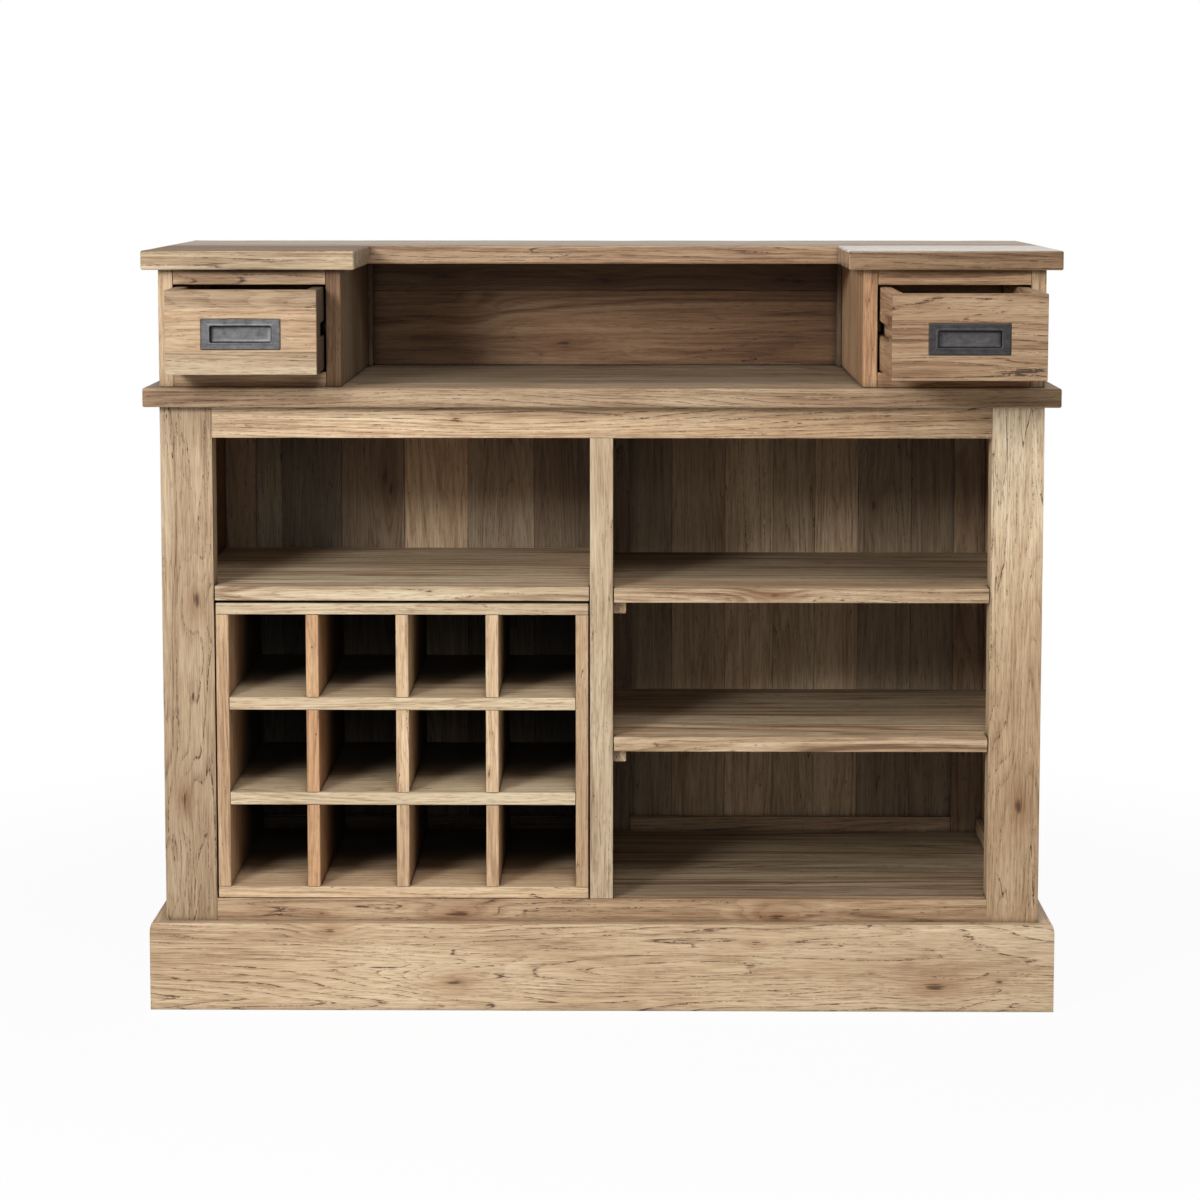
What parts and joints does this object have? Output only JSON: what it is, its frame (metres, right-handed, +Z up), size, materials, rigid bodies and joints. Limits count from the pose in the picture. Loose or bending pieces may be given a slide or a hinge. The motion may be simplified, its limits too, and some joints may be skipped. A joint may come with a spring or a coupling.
{
  "type": "bar counter",
  "caption": "Solid-wood home bar counter: U-shaped bar top over a serving niche, drawers with recessed pulls, shelves and a slide-out bottle rack below, on a moulded plinth.",
  "frame": {"origin": "on the floor, in the middle of the carcass, at the underside of the centre floor joist", "axes": "+Z up; +X to the right of someone who stands at the serving side; -Y points out of the serving side, where the drawers open"},
  "size_m": [1.4, 0.811, 1.177],
  "materials": {
    "teak": "planed and lightly brushed, matt",
    "pull_metal": "blackened, satin"
  },
  "bodies": {
    "carcass": {"back_planks_left": "teak", "back_planks_right": "teak", "center_partition": "teak", "center_stile": "teak", "counter_shelf": "teak", "floor_boards": "teak", "floor_joists": "teak", "front_bottom_rail": "teak", "front_post_left": "teak", "front_post_right": "teak", "front_top_rail": "teak", "left_box_inner_side": "teak", "left_box_outer_side": "teak", "left_box_rails": "teak", "left_box_runners": "teak", "left_side_planks": "teak", "left_side_rails": "teak", "niche_corner_battens": "teak", "plinth_back": "teak", "plinth_front": "teak", "plinth_left": "teak", "plinth_right": "teak", "rear_bottom_rails": "teak", "rear_post_center": "teak", "rear_post_left": "teak", "rear_post_right": "teak", "rear_top_rails": "teak", "right_box_inner_side": "teak", "right_box_outer_side": "teak", "right_box_rails": "teak", "right_box_runners": "teak", "right_side_planks": "teak", "right_side_rails": "teak", "shelf_cleats": "teak", "shelf_left": "teak", "shelf_right_lower": "teak", "shelf_right_upper": "teak", "top_back_strip": "teak", "top_left_wing": "teak", "top_right_wing": "teak", "upper_back_boards": "teak"},
    "left_drawer": {"left_drawer_front": "teak", "left_drawer_sides": "teak", "left_drawer_back": "teak", "left_drawer_bottom": "teak", "left_drawer_pull": "pull_metal"},
    "right_drawer": {"right_drawer_front": "teak", "right_drawer_sides": "teak", "right_drawer_back": "teak", "right_drawer_bottom": "teak", "right_drawer_pull": "pull_metal"},
    "bottle_rack": {"rack_bottom": "teak", "rack_dividers": "teak", "rack_shelves": "teak", "rack_side_left": "teak", "rack_side_right": "teak", "rack_top": "teak"}
  },
  "joints": [
    {"name": "left_drawer_slide", "type": "slide", "parent": "carcass", "child": "left_drawer", "axis": [0, -1, 0], "range_m": [-0.113, 0.177]},
    {"name": "right_drawer_slide", "type": "slide", "parent": "carcass", "child": "right_drawer", "axis": [0, -1, 0], "range_m": [-0.233, 0.057]},
    {"name": "rack_slide", "type": "slide", "parent": "carcass", "child": "bottle_rack", "axis": [0, -1, 0], "range_m": [0, 0.38]}
  ]
}
